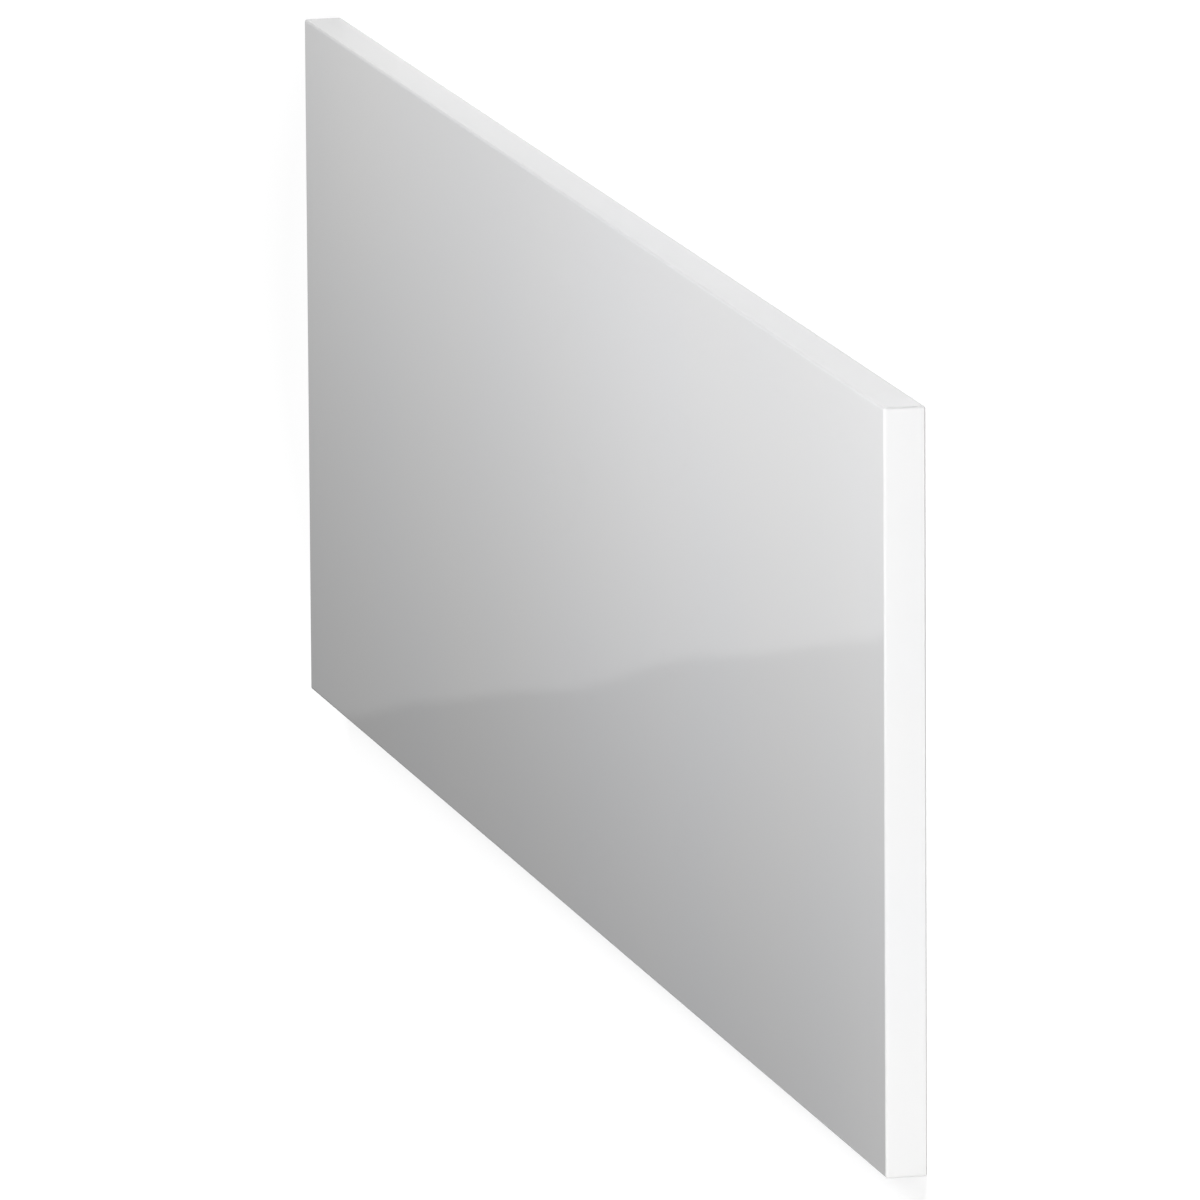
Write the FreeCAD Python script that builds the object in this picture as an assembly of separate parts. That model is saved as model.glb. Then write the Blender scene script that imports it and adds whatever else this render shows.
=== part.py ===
"""Bath panel: one flat rectangular board that closes the long side of a bath, from its rim down.

The board is sawn square, its face edges and its four upright corners are eased with one
round-over cutter before the gloss finish goes on, and the edges of the plain back are only
taken off with a small chamfer.

It lies on its back, as it would be stored. Millimetres: origin at the middle of the back,
+X along the width, +Y towards the edge that goes up under the rim, +Z out of the gloss face.
"""

import FreeCAD, Part
import os

# Driving dimensions
panel_width = 1700.0  # along X: the length of the bath it closes
panel_height = 510.0  # along Y: from the floor or plinth up to the underside of the rim
board_thickness = 28.0  # along Z
round_over_radius = 2.0  # on the face edges and on the four upright corners
back_chamfer = 1.0  # leg of the 45 degree chamfer round the back

AT_PLANE = 1e-6  # how near an edge's end has to be to a plane to lie in it


def edges_in_plane(solid, height):
    """The edges of the solid that lie wholly in the horizontal plane at this height."""
    return [
        edge
        for edge in solid.Edges
        if all(abs(vertex.Point.z - height) < AT_PLANE for vertex in edge.Vertexes)
    ]


def upright_edges(solid):
    """The edges of the solid that run from the back to the face, at the outline's corners."""
    found = []
    for edge in solid.Edges:
        first, last = (vertex.Point for vertex in edge.Vertexes)
        if abs(abs(last.z - first.z) - board_thickness) < AT_PLANE:
            found.append(edge)
    return found


def sawn_board():
    """The square-edged blank: the outline, centred on the origin, carried up by the thickness."""
    corner = FreeCAD.Vector(-panel_width / 2, -panel_height / 2, 0)
    outline = Part.makePlane(panel_width, panel_height, corner)
    return outline.extrude(FreeCAD.Vector(0, 0, board_thickness))


def finished_board():
    """The blank with its face edges and upright corners rounded over, and its back chamfered."""
    blank = sawn_board()
    eased = edges_in_plane(blank, board_thickness) + upright_edges(blank)
    rounded = blank.makeFillet(round_over_radius, eased)
    (board,) = rounded.makeChamfer(back_chamfer, edges_in_plane(rounded, 0)).Solids
    return board


os.makedirs("parts", exist_ok=True)
bath_panel = finished_board()
bath_panel.exportStep("parts/bath_panel.step")
print("bath_panel", bath_panel.ShapeType, "valid", bath_panel.isValid(), "volume", round(bath_panel.Volume))
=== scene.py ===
# %% [markdown]
# # A gloss-white bath panel, worked out with numpy
# The object is one board that closes the long side of a bath, from under the rim down to the floor. It is
# sawn from sheet, its face edges are eased with a round-over cutter, and a gloss-white finish covers the
# face and the edges. It is stock, so it lies on its back on a pale floor, and the camera looks down on it.
#
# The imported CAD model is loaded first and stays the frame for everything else: metres, with the origin at
# the middle of the back, X along the width, Y towards the edge that goes up under the rim, and Z out of the
# gloss face.

import math

import bmesh
import bpy
import numpy as np
from mathutils import Matrix, Vector


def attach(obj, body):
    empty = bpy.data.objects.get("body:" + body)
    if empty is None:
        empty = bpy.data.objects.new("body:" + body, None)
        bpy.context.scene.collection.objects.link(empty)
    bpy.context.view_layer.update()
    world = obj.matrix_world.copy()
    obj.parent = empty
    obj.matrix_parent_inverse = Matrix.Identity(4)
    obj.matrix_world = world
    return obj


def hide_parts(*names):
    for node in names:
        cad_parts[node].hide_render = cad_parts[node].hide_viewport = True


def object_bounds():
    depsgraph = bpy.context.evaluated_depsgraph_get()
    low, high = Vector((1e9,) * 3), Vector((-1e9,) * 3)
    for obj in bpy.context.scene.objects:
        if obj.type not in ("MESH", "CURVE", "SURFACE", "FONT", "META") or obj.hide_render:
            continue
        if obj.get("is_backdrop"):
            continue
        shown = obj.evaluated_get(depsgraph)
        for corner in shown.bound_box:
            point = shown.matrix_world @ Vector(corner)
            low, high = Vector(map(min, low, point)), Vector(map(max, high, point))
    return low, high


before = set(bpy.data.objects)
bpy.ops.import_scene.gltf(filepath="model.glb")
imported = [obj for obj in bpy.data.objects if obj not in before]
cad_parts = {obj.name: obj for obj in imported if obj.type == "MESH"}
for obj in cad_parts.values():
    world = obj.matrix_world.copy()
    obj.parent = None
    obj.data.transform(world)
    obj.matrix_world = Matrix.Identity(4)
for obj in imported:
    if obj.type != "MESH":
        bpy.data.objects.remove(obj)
cad_low, cad_high = (list(corner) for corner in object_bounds())
print("CAD nodes", sorted(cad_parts), "box", np.round(cad_low, 4), np.round(cad_high, 4))

# %% [markdown]
# ## The board's sizes
# The outer sizes come from the CAD box, so that the mesh of a new size of panel needs no change here. What
# the box can't say is named below: the cutter's radius, which is the same on the face edges and on the four
# upright corners, and the small chamfer that takes the sharpness off the back.

# %% Sizes
MM = 0.001
half_width = cad_high[0]
half_height = cad_high[1]
thickness = cad_high[2] - cad_low[2]
round_over = 2.0 * MM
back_chamfer = 1.0 * MM
print("board", 2 * half_width, "x", 2 * half_height, "x", thickness, "m")

# %% [markdown]
# ## The edge of the board as a profile
# Seen end-on, the edge of the board is a short line: level at the face, a quarter circle where the cutter
# ran, straight down the sawn edge, a 45 degree chamfer, and level again on the back. Blender's Bevel
# modifier could cut this from a block. Here the line is written down as points instead, each with an inset
# from the outline and a height, because then the points sit exactly where the CAD model has its arcs, and
# the shading has rows of narrow faces to turn on.

# %% The profile, from the face down to the back
ARC_STEPS = 10
GUARD = 0.25 * MM  # a narrow row on each side of a turn keeps the flats flat when shaded smooth
CHAMFER_ROWS = (0.0, 0.12, 0.88, 1.0)  # shares of the chamfer: the inner two keep its middle flat


def edge_profile():
    """Inset and height of the edge, from the face down to the back.

    The quarter circle has its centre one radius in and one radius down, so at angle t from upright its inset
    is radius - radius * sin t and its height is thickness - radius + radius * cos t. Straight runs follow,
    down to the chamfer, across it, and back in under the board to the same inset as the start.
    """
    turn = np.linspace(0.0, np.pi / 2, ARC_STEPS + 1)
    inset = round_over - round_over * np.sin(turn)
    height = thickness - round_over + round_over * np.cos(turn)
    slope = np.array(CHAMFER_ROWS) * back_chamfer
    sawn = np.array([thickness - round_over - GUARD, thickness / 2, back_chamfer + GUARD])
    inset = np.concatenate([inset, 0 * sawn, slope, [back_chamfer + GUARD, round_over]])
    height = np.concatenate([height, sawn, back_chamfer - slope, [0.0, 0.0]])
    return inset, height


profile_inset, profile_height = edge_profile()
print("edge profile of", len(profile_inset), "points")

# %% [markdown]
# ## The path round the board
# The profile is carried round a rectangle that lies one cutter radius inside the outline. Along a side the
# outward direction stays square to it. At a corner the path stands still while the outward direction swings
# through a quarter turn, and that one rule makes the upright rounded corners and, where the cutter's two
# passes meet, the ball-shaped corner of the face.

# %% The path and its outward directions
CELL = 6.0 * MM  # size of the squares on the face
CORNER_STEPS = 10


def spaced(half):
    """Places from -half to half, a cell apart, with one guard row inside each end."""
    inner = half - GUARD
    count = int(round(2 * inner / CELL))
    return np.concatenate([[-half], np.linspace(-inner, inner, count + 1), [half]])


def path_round(across, up):
    """Points and outward directions round the rectangle, anticlockwise seen from the face.

    A side repeats one pair of coordinates with the fixed normal at angle a. The corner after it repeats the
    last point while the angle goes on from a to a + 90 degrees.
    """
    right, top = across[-1], up[-1]
    sides = [
        (across, np.full_like(across, -top), -90.0),
        (np.full_like(up, right), up, 0.0),
        (across[::-1], np.full_like(across, top), 90.0),
        (np.full_like(up, -right), up[::-1], 180.0),
    ]
    points = []
    angles = []
    for x, y, normal in sides:
        swing = np.linspace(normal, normal + 90.0, CORNER_STEPS + 1)[1:-1]
        corner = np.tile([x[-1], y[-1]], (len(swing), 1))
        points += [np.column_stack([x, y]), corner]
        angles += [np.full(len(x), normal), swing]
    angle = np.radians(np.concatenate(angles))
    return np.concatenate(points), np.column_stack([np.cos(angle), np.sin(angle)])


across = spaced(half_width - round_over)
up = spaced(half_height - round_over)
path_points, path_outward = path_round(across, up)
print("path of", len(path_points), "points round the board")

# %% [markdown]
# ## The face is not quite flat
# A sheet that is pressed or wrapped keeps a faint swell, a few hundredths of a millimetre deep in waves as
# long as an arm. Nobody sees it until something straight is mirrored in the gloss, and then the straight
# line wavers. A bump map could fake it, but real geometry gives the same waver from every side. The swell
# only goes down into the board, so the panel stays inside its box, and it dies out before the round-over.

# %% The swell of the face
swell_depth = 0.075 * MM
swell_along = 0.95  # wavelength along the swell's own direction, metres
swell_across = 0.26  # and square to it
swell_bearing = math.radians(15.7)  # which way the swell runs, turned from X
swell_start = (0.139, -0.083)  # along and across, from the middle of the panel to where the waves start
swell_margin = 0.05  # it fades to nothing over this much next to the edge
octave = 0.5  # strength of the wave of half the length that is laid over it
wave_peak = 1.3  # the most that the two waves reach together


def face_swell(x, y):
    """How far the face dips below flat at x, y.

    A sine across the swell times a sine and its weaker octave along it, shifted to lie between nothing and
    full depth, times a smooth fade: s * s * (3 - 2 * s), with s the share of the margin that the nearest
    edge is away.
    """
    along = x * math.cos(swell_bearing) + y * math.sin(swell_bearing)
    aside = y * math.cos(swell_bearing) - x * math.sin(swell_bearing)
    turn = 2 * np.pi * (swell_start[0] - along) / swell_along
    side_turn = 2 * np.pi * (aside - swell_start[1]) / swell_across
    wave = np.sin(side_turn) * (np.sin(turn) + octave * np.sin(2 * turn)) / wave_peak
    nearest = np.minimum(half_width - round_over - np.abs(x), half_height - round_over - np.abs(y))
    share = np.clip(nearest / swell_margin, 0.0, 1.0)
    return swell_depth * (0.5 + 0.5 * wave) * share * share * (3 - 2 * share)


print("swell at most", round(swell_depth / MM, 3), "mm deep")

# %% [markdown]
# ## One closed skin
# Three grids make the board: the band that the profile sweeps round the path, the face, and the back. Their
# borders have the same points, so merging doubles sews them into one closed skin, and the corner squares
# whose side has shrunk to a point become triangles.

# %% Grids and their faces
def grid_faces(rows, columns, start, closed=False):
    """Corner numbers of the squares of a grid, one row of four for each square.

    Square i, j has corners i j, i+1 j, i+1 j+1 and i j+1. A closed grid joins its last column to its first.
    """
    number = start + np.arange(rows * columns).reshape(rows, columns)
    if closed:
        number = np.column_stack([number, number[:, 0]])
    corners = [number[:-1, :-1], number[1:, :-1], number[1:, 1:], number[:-1, 1:]]
    return np.stack(corners, axis=-1).reshape(-1, 4)


def edge_band():
    """The profile carried round the path.

    A point is path point + (radius - inset) * outward, at the profile's height.
    """
    reach = round_over - profile_inset
    plan = path_points[None] + reach[:, None, None] * path_outward[None]
    height = np.broadcast_to(profile_height[:, None, None], plan.shape[:2] + (1,))
    return np.concatenate([plan, height], axis=-1).reshape(-1, 3)


def flat_sheet(height, dip):
    """A grid over the face or the back: x, y at each crossing, and the height less the dip there."""
    x, y = np.meshgrid(across, up, indexing="ij")
    return np.stack([x, y, height - dip(x, y)], axis=-1).reshape(-1, 3)


band = edge_band()
face = flat_sheet(thickness, face_swell)
back = flat_sheet(0.0, lambda x, y: 0 * x)
band_quads = grid_faces(len(profile_inset), len(path_points), 0, closed=True)
face_quads = grid_faces(len(across), len(up), len(band))
back_quads = grid_faces(len(across), len(up), len(band) + len(face))[:, ::-1]
print("squares: band", len(band_quads), "face", len(face_quads), "back", len(back_quads))

# %% Sew the skin together
GLOSS, BACKING = 0, 1
SAME_POINT = 1e-7  # metres


def sewn_mesh(name):
    """A mesh of the three grids: doubles merged, shaded smooth, the back marked for its own material."""
    mesh = bpy.data.meshes.new(name)
    points = np.concatenate([band, face, back])
    quads = np.concatenate([band_quads, face_quads, back_quads])
    mesh.from_pydata(points.tolist(), [], quads.tolist())
    under = (profile_height[:-1] < SAME_POINT) & (profile_height[1:] < SAME_POINT)
    kind = np.concatenate([
        np.repeat(np.where(under, BACKING, GLOSS), len(path_points)),
        np.full(len(face_quads), GLOSS),
        np.full(len(back_quads), BACKING),
    ])
    mesh.polygons.foreach_set("material_index", kind.astype(np.int32))
    mesh.polygons.foreach_set("use_smooth", np.ones(len(kind), dtype=bool))
    skin = bmesh.new()
    skin.from_mesh(mesh)
    bmesh.ops.remove_doubles(skin, verts=skin.verts, dist=SAME_POINT)
    open_edges = sum(not edge.is_manifold for edge in skin.edges)
    litres = skin.calc_volume(signed=True) * 1000
    skin.to_mesh(mesh)
    skin.free()
    print(name, len(mesh.vertices), "points,", open_edges, "open edges,", round(litres, 3), "litres")
    return mesh


panel = bpy.data.objects.new("bath_panel_skin", sewn_mesh("bath_panel_skin"))
bpy.context.collection.objects.link(panel)
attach(panel, "root")
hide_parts("bath_panel")

# %% [markdown]
# ## The gloss finish
# The finish is a white film with a hard, clear surface. Its colour is the white under the gloss, and the
# shine on top is the shader's own reflection, which grows towards a grazing view. A few faint things keep
# it from being a flat colour: the white drifts by about a hundredth over the length of a forearm, the gloss
# is a little duller in patches where the sheet has been handled, and the film keeps a fine, slow skin from
# the board under it. The edges show more of the board than the face does, as level lines, and shine a
# little less.
#
# An image texture could hold all that, but it would have to be painted for one size of panel. Noise on
# Object coordinates is in metres, so it stays the right size on a panel of any size.

# %% Node helpers
MOSTLY = (0.3, 0.7)  # where most values of Blender's noise lie


def fresh_material(name):
    """A new node material: returns it, its node tree and its Principled shader."""
    material = bpy.data.materials.new(name)
    material.use_nodes = True
    tree = material.node_tree
    return material, tree, tree.nodes["Principled BSDF"]


def add_node(tree, kind, links=None, **settings):
    """A node of that kind in the tree.

    A setting that the node itself has is set there, and any other is the value of the socket of that name,
    with _ for a space. links gives, for a socket's name or number, the output that feeds it.
    """
    node = tree.nodes.new(kind)
    for name, value in settings.items():
        if hasattr(node, name):
            setattr(node, name, value)
        else:
            node.inputs[name.replace("_", " ")].default_value = value
    for socket, source in (links or {}).items():
        tree.links.new(source, node.inputs[socket])
    return node


def noise_at(tree, place, scale, stretch=(1.0, 1.0, 1.0), detail=2.0):
    """Noise of about that many patches a metre, on coordinates multiplied by stretch."""
    scaled = add_node(tree, "ShaderNodeMapping", {"Vector": place}, Scale=stretch).outputs[0]
    noise = add_node(tree, "ShaderNodeTexNoise", {"Vector": scaled}, Scale=scale, Detail=detail)
    return noise.outputs[0]


def spread(tree, value, low, high, start=MOSTLY[0], end=MOSTLY[1]):
    """The value brought from start..end to low..high in a straight line, and held there outside."""
    sockets = dict(From_Min=start, From_Max=end, To_Min=low, To_Max=high)
    return add_node(tree, "ShaderNodeMapRange", {"Value": value}, **sockets).outputs[0]


def two_tone(tree, value, first, second):
    """A colour that goes from first to second as the value crosses the range where noise mostly lies."""
    ramp = add_node(tree, "ShaderNodeValToRGB", {"Fac": value})
    for element, position, colour in zip(ramp.color_ramp.elements, MOSTLY, (first, second)):
        element.position = position
        element.color = colour
    return ramp.outputs[0]


# %% Gloss-white film
warmer_white = (0.846, 0.843, 0.838, 1.0)
cooler_white = (0.834, 0.837, 0.842, 1.0)
white_patches = 4.0  # a metre
film_ior = 1.5  # as for most clear plastics and lacquers
film_gloss = (0.018, 0.03)  # roughness, from well kept to handled
handled_patches = 9.0
edge_dulling = 0.06  # what the edges add to the roughness
still_face = 0.3  # share of the round-over that still shines as the face does
skin_grains = 160.0
skin_depth = 0.002 * MM
edge_lines_a_metre = (30.0, 30.0, 600.0)  # they run level, so they lie close together along Z only
edge_line_depth = 0.006 * MM

gloss, tree, shader = fresh_material("gloss_white_film")
place = add_node(tree, "ShaderNodeTexCoord").outputs["Object"]
level = add_node(tree, "ShaderNodeSeparateXYZ", {"Vector": place}).outputs["Z"]
on_edge = spread(tree, level, 0.0, 1.0, thickness - still_face * round_over, thickness - round_over)

white = two_tone(tree, noise_at(tree, place, white_patches), warmer_white, cooler_white)
tree.links.new(white, shader.inputs["Base Color"])

handled = spread(tree, noise_at(tree, place, handled_patches, detail=3.0), *film_gloss)
dulled = add_node(tree, "ShaderNodeMath", {0: on_edge, 2: handled}, operation="MULTIPLY_ADD")
dulled.inputs[1].default_value = edge_dulling
tree.links.new(dulled.outputs[0], shader.inputs["Roughness"])

grain = noise_at(tree, place, skin_grains, detail=1.0)
lines = noise_at(tree, place, 1.0, stretch=edge_lines_a_metre)
edge_lines = add_node(tree, "ShaderNodeMath", {0: lines, 1: on_edge}, operation="MULTIPLY").outputs[0]
skin_bump = add_node(tree, "ShaderNodeBump", {"Height": grain}, Distance=skin_depth)
line_sockets = {"Height": edge_lines, "Normal": skin_bump.outputs[0]}
line_bump = add_node(tree, "ShaderNodeBump", line_sockets, Distance=edge_line_depth)
tree.links.new(line_bump.outputs[0], shader.inputs["Normal"])
shader.inputs["IOR"].default_value = film_ior
panel.data.materials.append(gloss)
print(gloss.name, "with", len(tree.nodes), "nodes")

# %% [markdown]
# ## The backing
# The back goes against the bath's frame and is never seen in use, so it only has a thin balancing sheet
# that stops the board from bowing: matt, off-white, with a fine pebble and a faint mottle. It gets its own
# material on the faces that were marked when the skin was sewn.

# %% Matt backing sheet
backing_light = (0.80, 0.79, 0.77, 1.0)
backing_dark = (0.76, 0.75, 0.73, 1.0)
mottle_patches = 45.0  # a metre
backing_roughness = (0.48, 0.62)
dull_patches = 20.0
pebbles = 900.0
pebble_depth = 0.02 * MM

backing, tree, shader = fresh_material("matt_backing")
place = add_node(tree, "ShaderNodeTexCoord").outputs["Object"]
mottle = noise_at(tree, place, mottle_patches, detail=4.0)
tree.links.new(two_tone(tree, mottle, backing_light, backing_dark), shader.inputs["Base Color"])
dull = spread(tree, noise_at(tree, place, dull_patches), *backing_roughness)
tree.links.new(dull, shader.inputs["Roughness"])
pebble = add_node(tree, "ShaderNodeBump", {"Height": noise_at(tree, place, pebbles)}, Distance=pebble_depth)
tree.links.new(pebble.outputs[0], shader.inputs["Normal"])
panel.data.materials.append(backing)
print(backing.name, "with", len(tree.nodes), "nodes")

# %% [markdown]
# ## The floor
# The floor is plain pale paper. A white picture ground could be had by flooding it with light, but the same
# light would wash out the panel. Instead the paper glows a little, and only for rays that come from the
# camera or from a mirror, so it reads as white while the lamps still draw the panel's shadow on it. Away
# from the panel, where the lamps give out, the glow rises to full white. The panel is long and low, so the
# patch of weaker glow round it is too.

# %% Floor
PURE_WHITE = (1.0, 1.0, 1.0, 1.0)
FULL_STRENGTH = 1.0  # a glow or a background of this strength renders as white
floor_reach = 30.0  # metres each way from the panel
paper_white = (0.60, 0.60, 0.60, 1.0)
paper_roughness = 0.9
glow_here = 0.62  # at the middle of the panel
glow_fall = (-0.08, -0.28, 0.0)  # a metre, along X and Y: less glow where the lamps are nearer
glow_near, glow_far = 1.05, 1.70  # metres along X from the middle, over which it rises to full white
glow_shape = (1.0, 2.2, 1.0)  # it rises that much sooner along Y


def seen_directly(tree):
    """Light Path's outputs, then 1 for a mirrored ray, and 1 for any ray that is seen.

    Mirrored rays come off a gloss surface or through glass. The rays that are seen are these and the
    camera's own, and all others carry soft light.
    """
    rays = add_node(tree, "ShaderNodeLightPath").outputs
    both = {0: rays["Is Glossy Ray"], 1: rays["Is Transmission Ray"]}
    mirrored = add_node(tree, "ShaderNodeMath", both).outputs[0]
    total = add_node(tree, "ShaderNodeMath", {0: rays["Is Camera Ray"], 1: mirrored}, use_clamp=True)
    return rays, mirrored, total.outputs[0]


mesh = bpy.data.meshes.new("paper_floor")
corners = floor_reach * np.array([[-1, -1, 0], [1, -1, 0], [1, 1, 0], [-1, 1, 0]])
mesh.from_pydata(corners.tolist(), [], [(0, 1, 2, 3)])
floor = bpy.data.objects.new("paper_floor", mesh)
bpy.context.collection.objects.link(floor)
floor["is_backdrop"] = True

paper, tree, shader = fresh_material("pale_paper")
place = add_node(tree, "ShaderNodeTexCoord").outputs["Object"]
shaped = add_node(tree, "ShaderNodeVectorMath", {0: place}, operation="MULTIPLY")
shaped.inputs[1].default_value = glow_shape
away = add_node(tree, "ShaderNodeVectorMath", {0: shaped.outputs[0]}, operation="LENGTH").outputs["Value"]
far_off = spread(tree, away, 0.0, 1.0, glow_near, glow_far)
across_floor = add_node(tree, "ShaderNodeVectorMath", {0: place}, operation="DOT_PRODUCT")
across_floor.inputs[1].default_value = glow_fall
near_glow = add_node(tree, "ShaderNodeMath", {0: across_floor.outputs["Value"]}, operation="ADD")
near_glow.inputs[1].default_value = glow_here
glow = add_node(tree, "ShaderNodeMix", {"Factor": far_off, "A": near_glow.outputs[0]})
glow.inputs["B"].default_value = FULL_STRENGTH
seen = seen_directly(tree)[2]
strength = add_node(tree, "ShaderNodeMath", {0: glow.outputs[0], 1: seen}, operation="MULTIPLY")
shader.inputs["Base Color"].default_value = paper_white
shader.inputs["Roughness"].default_value = paper_roughness
shader.inputs["Specular IOR Level"].default_value = 0.0
shader.inputs["Emission Color"].default_value = PURE_WHITE
tree.links.new(strength.outputs[0], shader.inputs["Emission Strength"])
mesh.materials.append(paper)
print("floor glow", glow_here, "under the panel, 1 from", glow_far, "metres")

# %% [markdown]
# ## The room that the gloss mirrors
# A gloss face is half made by what stands opposite it. The face shows one long soft line, lighter above it
# and darker below: the end of a grey wall, standing off to one side in a paler room. A line that is square
# to the face is mirrored as a line on towards the same direction, so its bearing is nearly all that is
# needed, and the world's own direction gives that. The wall's end leans a little, the wall is darker higher
# up, and the room itself loses some light on the way to the wall's side.
#
# Soft light doesn't come from this picture of a room but from a faint even grey, so the wall changes what is
# mirrored and nothing else. The camera sees plain white behind the floor.

# %% World
room_fill = 0.10  # the even grey that gives soft light
room_white = 0.555  # what the gloss mirrors where neither the wall nor the fall below takes from it
wall_end = -168.49  # bearing of the wall's end, in degrees from X
wall_softness = 0.02  # degrees on each side of that
wall_lean = -0.10  # how far its end turns, in radians, from one unit of height to the next
wall_fades = (-95.0, -55.0)  # the wall's other end melts into the room
wall_step = (0.142, 0.262)  # how much darker it is than the room, at the two heights below
mirrored_heights = (0.215, 0.249)
room_fall = 0.35  # what the room loses on the way from the first of these bearings to the second
fall_bearings = (-171.5, -166.5)

world = bpy.data.worlds.new("white_room")
bpy.context.scene.world = world
world.use_nodes = True
tree = world.node_tree
direction = add_node(tree, "ShaderNodeTexCoord").outputs["Generated"]
toward = add_node(tree, "ShaderNodeSeparateXYZ", {"Vector": direction}).outputs
bearing = add_node(tree, "ShaderNodeMath", {0: toward["Y"], 1: toward["X"]}, operation="ARCTAN2").outputs[0]
middle_height = sum(mirrored_heights) / 2
upright = add_node(tree, "ShaderNodeMath", {0: toward["Z"], 2: bearing}, operation="MULTIPLY_ADD")
upright.inputs[1].default_value = -wall_lean
turn_start, turn_end = (
    math.radians(wall_end + side * wall_softness) - wall_lean * middle_height for side in (-1, 1)
)
starts = spread(tree, upright.outputs[0], 0.0, 1.0, turn_start, turn_end)
stops = spread(tree, bearing, 1.0, 0.0, *(math.radians(fade) for fade in wall_fades))
wall = add_node(tree, "ShaderNodeMath", {0: starts, 1: stops}, operation="MULTIPLY").outputs[0]
darker = spread(tree, toward["Z"], *wall_step, *mirrored_heights)
falls = spread(tree, bearing, 0.0, room_fall, *(math.radians(end) for end in fall_bearings))
fall = add_node(tree, "ShaderNodeMath", {0: falls, 1: stops}, operation="MULTIPLY").outputs[0]
shade = add_node(tree, "ShaderNodeMath", {0: wall, 1: darker, 2: fall}, operation="MULTIPLY_ADD")
room = add_node(tree, "ShaderNodeMath", {1: shade.outputs[0]}, operation="SUBTRACT", use_clamp=True)
room.inputs[0].default_value = room_white

rays, mirrored, _ = seen_directly(tree)
soft = tree.nodes["Background"]
soft.inputs["Color"].default_value = PURE_WHITE
soft.inputs["Strength"].default_value = room_fill
picture = add_node(tree, "ShaderNodeBackground", {"Strength": room.outputs[0]}, Color=PURE_WHITE)
backdrop = add_node(tree, "ShaderNodeBackground", Color=PURE_WHITE, Strength=FULL_STRENGTH)
lit = add_node(tree, "ShaderNodeMixShader", {0: mirrored, 1: soft.outputs[0], 2: picture.outputs[0]})
all_round = {0: rays["Is Camera Ray"], 1: lit.outputs[0], 2: backdrop.outputs[0]}
surroundings = add_node(tree, "ShaderNodeMixShader", all_round)
tree.links.new(surroundings.outputs[0], tree.nodes["World Output"].inputs["Surface"])
print("wall begins at", wall_end, "degrees")

# %% [markdown]
# ## Lamps
# Five soft boxes light the panel. One stands low beside the right-hand edge and makes it the whitest part
# of the panel, and one stands beyond the top edge. A small one off the corner between them keeps the
# upright corner from showing as a dark line. Another hangs higher, just beyond the top edge, faces the
# upper part of the face and is a little cool, so the light falls away towards the far lower corner. The
# last is a fill from behind, low enough to skim the face, and it keeps the edges that look away from going
# grey when the panel is turned.
#
# The gloss would mirror the boxes as hard white lines along the rounded edges. What the gloss mirrors is the
# room above, so the boxes are hidden from mirrored rays and give soft light only.

# %% Soft boxes
PLAIN_LIGHT = (1.0, 1.0, 1.0)
COOL_LIGHT = (0.97, 0.975, 1.0)


def soft_box(name, place, aim, width, depth, watts, colour=PLAIN_LIGHT):
    """A rectangular lamp at place that faces aim. Neither the camera nor the gloss shows the box."""
    lamp = bpy.data.lights.new(name, "AREA")
    lamp.shape = "RECTANGLE"
    lamp.size = width
    lamp.size_y = depth
    lamp.energy = watts
    lamp.color = colour
    box = bpy.data.objects.new(name, lamp)
    box.location = place
    box.rotation_euler = (Vector(aim) - Vector(place)).to_track_quat("-Z", "Y").to_euler()
    box.visible_camera = False
    box.visible_glossy = False
    bpy.context.collection.objects.link(box)
    print(name, watts, "watts")


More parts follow.
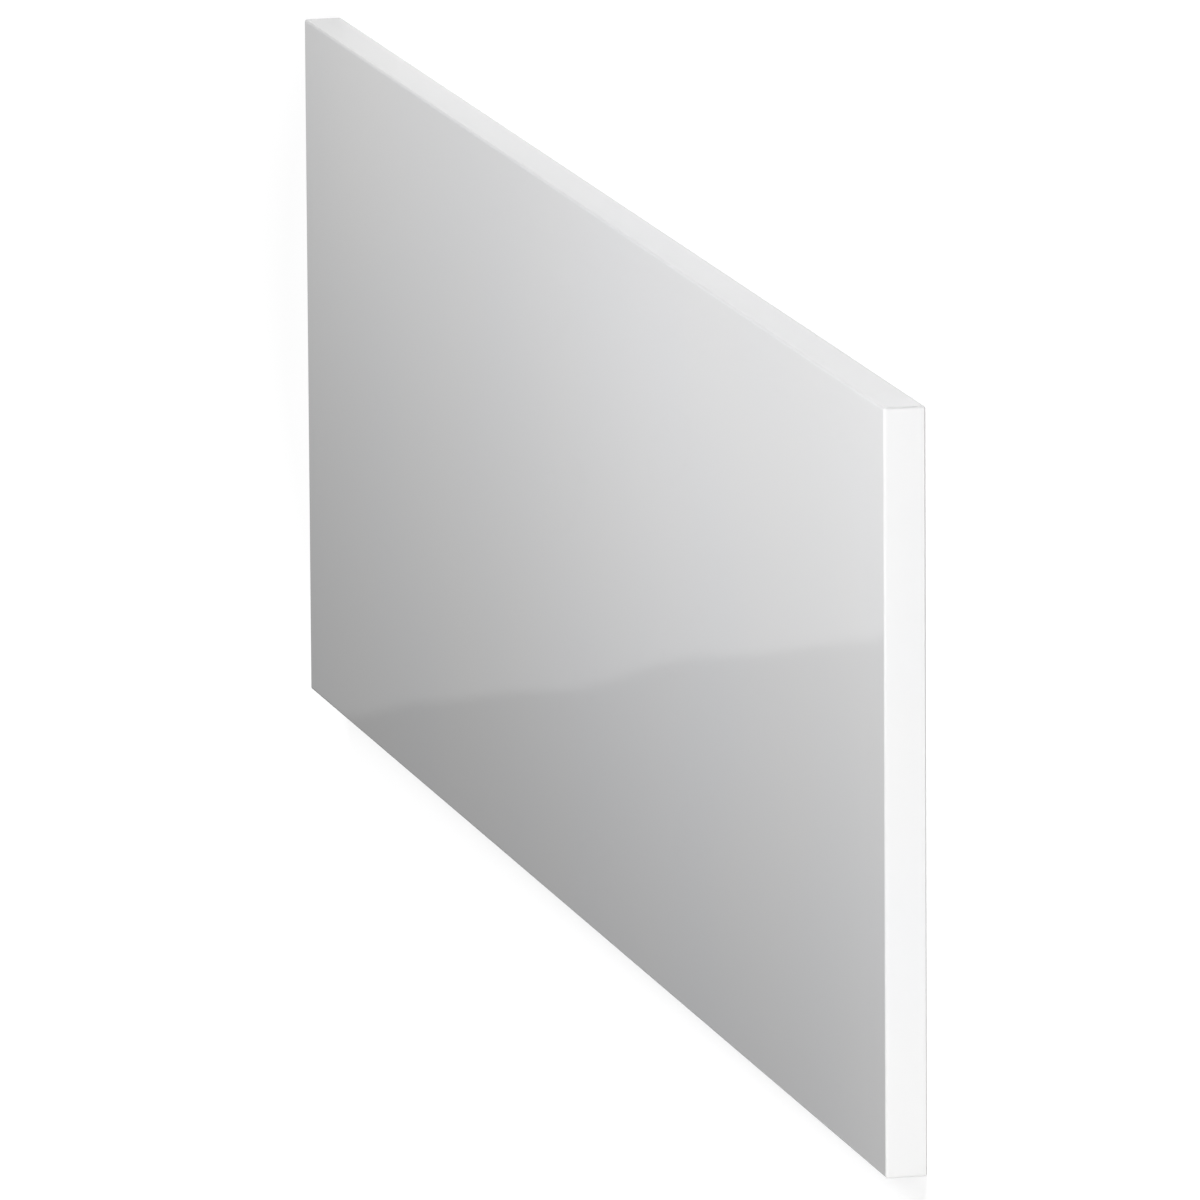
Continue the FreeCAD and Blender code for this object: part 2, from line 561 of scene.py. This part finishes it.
soft_box("beside_right_edge", (1.70, -0.39, 0.42), (0.50, -0.24, 0.0), 0.96, 0.80, 9.0)
soft_box("beyond_top_edge", (-0.67, 0.74, 0.69), (-0.51, 0.10, 0.0), 0.81, 0.85, 5.25)
soft_box("off_the_near_corner", (1.12, 0.55, 0.59), (0.46, 0.14, 0.0), 0.39, 0.60, 3.7)
soft_box("over_the_face", (0.29, 0.48, 0.80), (0.20, 0.21, 0.0), 0.58, 0.57, 4.12, COOL_LIGHT)
soft_box("fill_from_behind", (-2.30, -2.20, 0.35), (0.0, 0.0, 0.0), 2.2, 0.5, 22.0)

# %% [markdown]
# ## The camera
# The camera stands to the right of the panel and beyond its top edge, far off with a long lens, so that the
# board's sides stay nearly parallel. Its place is given the way it was found: a point on the face to look
# at, how far away the camera is, and two angles from straight in front of the face, one towards the
# right-hand edge and one towards the top edge. The top of the picture follows the panel's own height, with
# about a third of a degree of roll.

# %% Camera
aim = Vector((0.0723, -0.0154, thickness))
camera_distance = 11.1197
to_the_right = math.radians(76.330)
to_the_top = math.radians(10.913)
roll = math.radians(-0.365)
focal_length = 480.26  # millimetres, as the sensor's width is
sensor_width = 36.0
sight_limit = 100.0  # metres

toward_camera = Vector((
    math.sin(to_the_right) * math.cos(to_the_top),
    math.sin(to_the_top),
    math.cos(to_the_right) * math.cos(to_the_top),
))
level_right = Vector((0.0, 1.0, 0.0)).cross(toward_camera).normalized()
level_up = toward_camera.cross(level_right)
picture_right = level_right * math.cos(roll) + level_up * math.sin(roll)
picture_up = toward_camera.cross(picture_right)

lens = bpy.data.cameras.new("panel_camera")
lens.lens = focal_length
lens.sensor_width = sensor_width
lens.clip_end = sight_limit
camera = bpy.data.objects.new("panel_camera", lens)
facing = Matrix((picture_right, picture_up, toward_camera)).transposed().to_4x4()
camera.matrix_world = Matrix.Translation(aim + toward_camera * camera_distance) @ facing
bpy.context.collection.objects.link(camera)
bpy.context.scene.camera = camera
print("camera at", np.round(camera.matrix_world.translation, 3))

# %% [markdown]
# ## The view transform
# The visual model has to stay inside the CAD model's box. The view transform is Standard, so that a colour
# renders about as it is written.

# %% The view transform
bpy.context.scene.view_settings.view_transform = "Standard"
